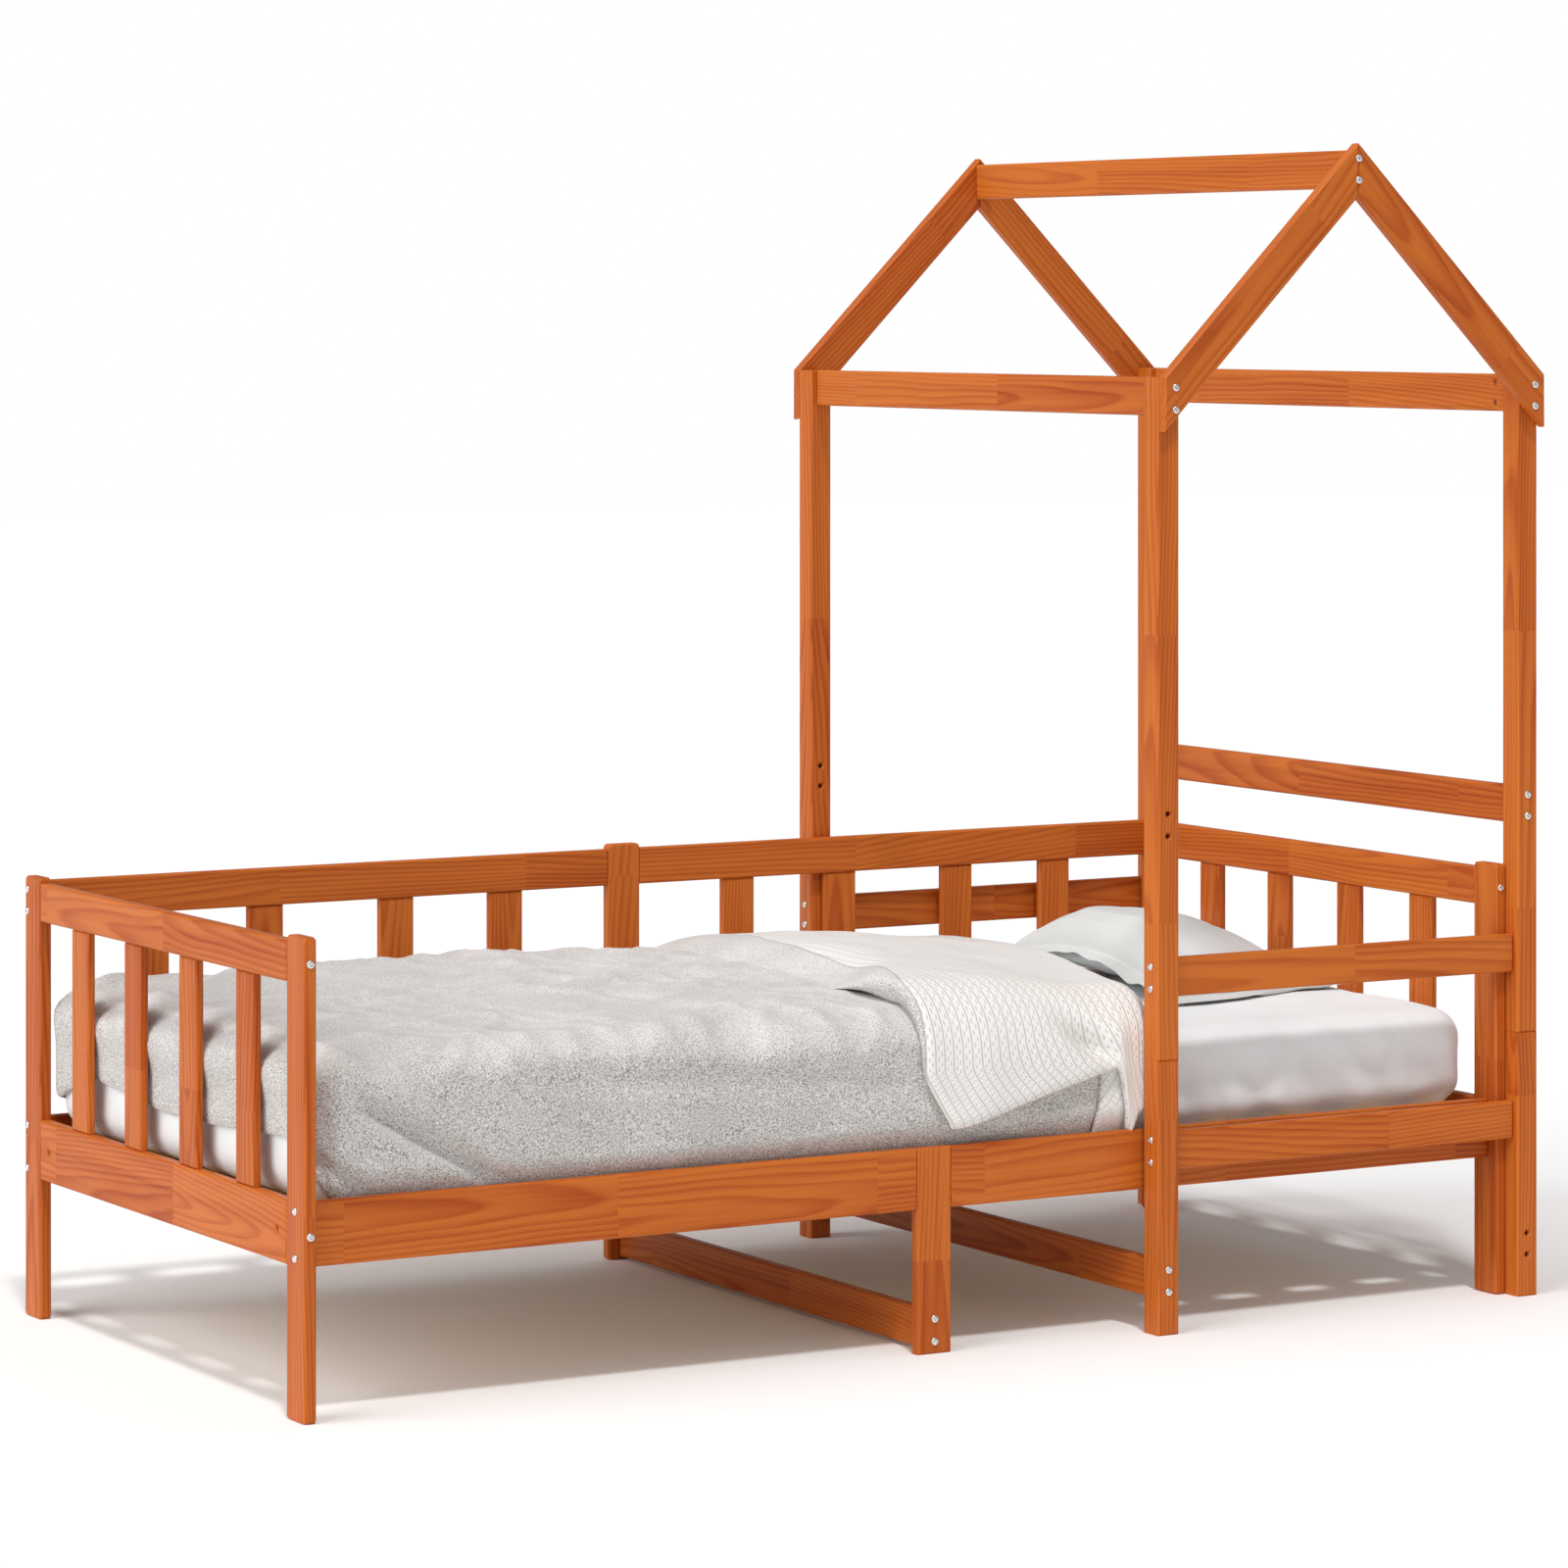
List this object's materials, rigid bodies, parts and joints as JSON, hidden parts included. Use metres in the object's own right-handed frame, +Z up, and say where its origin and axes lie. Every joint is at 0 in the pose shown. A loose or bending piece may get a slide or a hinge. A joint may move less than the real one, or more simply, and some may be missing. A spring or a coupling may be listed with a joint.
{
  "type": "daybed with house frame",
  "caption": "Wooden child's daybed with slatted foot, back and head panels, an open front, a house-shaped open roof frame over the head end, and mattress, duvet and pillow.",
  "frame": {"origin": "middle of the whole bed's footprint, on the floor", "axes": "+X from the foot end to the head end with the house frame, +Y from the open front to the slatted back, +Z up"},
  "size_m": [2.093, 1.098, 1.7809],
  "materials": {
    "frame_wood": "waxed honey-coloured pine with a soft satin sheen",
    "base_wood": "bare planed softwood slats on cotton tape",
    "sheet_cotton": "white fitted cotton sheet",
    "duvet_knit": "light heather grey with an off-white knitted reverse",
    "pillow_cotton": "light grey cotton"
  },
  "bodies": {
    "frame": {"back_bottom_rail_foot_half": "frame_wood", "back_bottom_rail_head_half": "frame_wood", "back_center_post": "frame_wood", "back_slat_1": "frame_wood", "back_slat_2": "frame_wood", "back_slat_3": "frame_wood", "back_slat_4": "frame_wood", "back_slat_5": "frame_wood", "back_slat_6": "frame_wood", "back_slat_7": "frame_wood", "back_slat_8": "frame_wood", "back_slat_ledge": "frame_wood", "back_top_rail_foot_half": "frame_wood", "back_top_rail_head_half": "frame_wood", "center_stretcher": "frame_wood", "eave_rail_head": "frame_wood", "eave_rail_inner": "frame_wood", "foot_back_post": "frame_wood", "foot_bottom_rail": "frame_wood", "foot_front_post": "frame_wood", "foot_slat_1": "frame_wood", "foot_slat_2": "frame_wood", "foot_slat_3": "frame_wood", "foot_slat_4": "frame_wood", "foot_top_rail": "frame_wood", "front_center_leg": "frame_wood", "front_rail_foot_half": "frame_wood", "front_rail_head_half": "frame_wood", "front_slat_ledge": "frame_wood", "guard_rail_back": "frame_wood", "guard_rail_front": "frame_wood", "head_back_post": "frame_wood", "head_bottom_rail": "frame_wood", "head_front_post": "frame_wood", "head_slat_1": "frame_wood", "head_slat_2": "frame_wood", "head_slat_3": "frame_wood", "head_slat_4": "frame_wood", "head_top_rail": "frame_wood", "head_upper_rail": "frame_wood", "house_bottom_rail_back": "frame_wood", "house_bottom_rail_front": "frame_wood", "house_post_back_head_lower": "frame_wood", "house_post_back_head_upper": "frame_wood", "house_post_back_inner_lower": "frame_wood", "house_post_back_inner_upper": "frame_wood", "house_post_front_head_lower": "frame_wood", "house_post_front_head_upper": "frame_wood", "house_post_front_inner_lower": "frame_wood", "house_post_front_inner_upper": "frame_wood", "house_stretcher": "frame_wood", "rafter_back_foot_side": "frame_wood", "rafter_back_head_side": "frame_wood", "rafter_front_foot_side": "frame_wood", "rafter_front_head_side": "frame_wood", "ridge_beam": "frame_wood", "slatted_base": "base_wood"},
    "mattress": {"mattress": "sheet_cotton"},
    "duvet": {"duvet": "duvet_knit"},
    "pillow": {"pillow": "pillow_cotton"}
  },
  "joints": [
    {"name": "mattress_lift", "type": "slide", "parent": "frame", "child": "mattress", "axis": [0, 0, 1], "range_m": [0, 0.45]},
    {"name": "duvet_lift", "type": "slide", "parent": "mattress", "child": "duvet", "axis": [0, 0, 1], "range_m": [0, 0.3]},
    {"name": "pillow_lift", "type": "slide", "parent": "mattress", "child": "pillow", "axis": [0, 0, 1], "range_m": [0, 0.3]}
  ]
}
